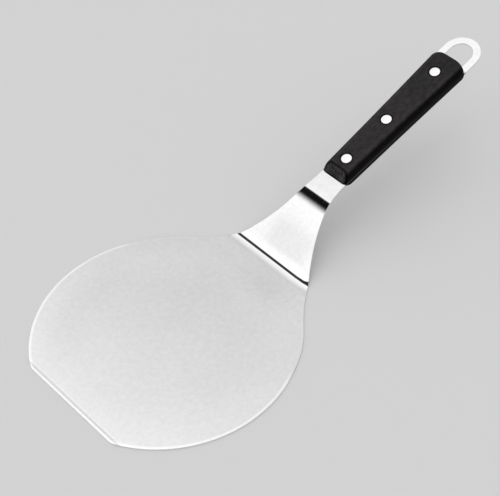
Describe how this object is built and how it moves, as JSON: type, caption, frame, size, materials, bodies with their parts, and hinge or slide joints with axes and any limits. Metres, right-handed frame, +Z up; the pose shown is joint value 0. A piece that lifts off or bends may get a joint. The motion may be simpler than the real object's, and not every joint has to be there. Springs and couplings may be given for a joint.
{
  "type": "cake lifter",
  "caption": "Round stainless blade with a straight ground front edge, on a folded neck, with a riveted dark wooden handle and a hanging loop.",
  "frame": {"origin": "on the underside of the blade, at the centre of its round edge", "axes": "+X from the blade towards the handle, +Y across the blade, +Z up out of the blade"},
  "size_m": [0.4211, 0.2, 0.0896],
  "materials": {
    "satin_steel": "satin",
    "dark_wood": "matte, fine grain along the handle",
    "rivet_steel": "bright, ground flush"
  },
  "bodies": {
    "root": {"blade_and_tang": "satin_steel", "handle_scale_upper": "dark_wood", "handle_scale_lower": "dark_wood", "rivet_front_upper": "rivet_steel", "rivet_front_lower": "rivet_steel", "rivet_middle_upper": "rivet_steel", "rivet_middle_lower": "rivet_steel", "rivet_rear_upper": "rivet_steel", "rivet_rear_lower": "rivet_steel"}
  },
  "joints": []
}
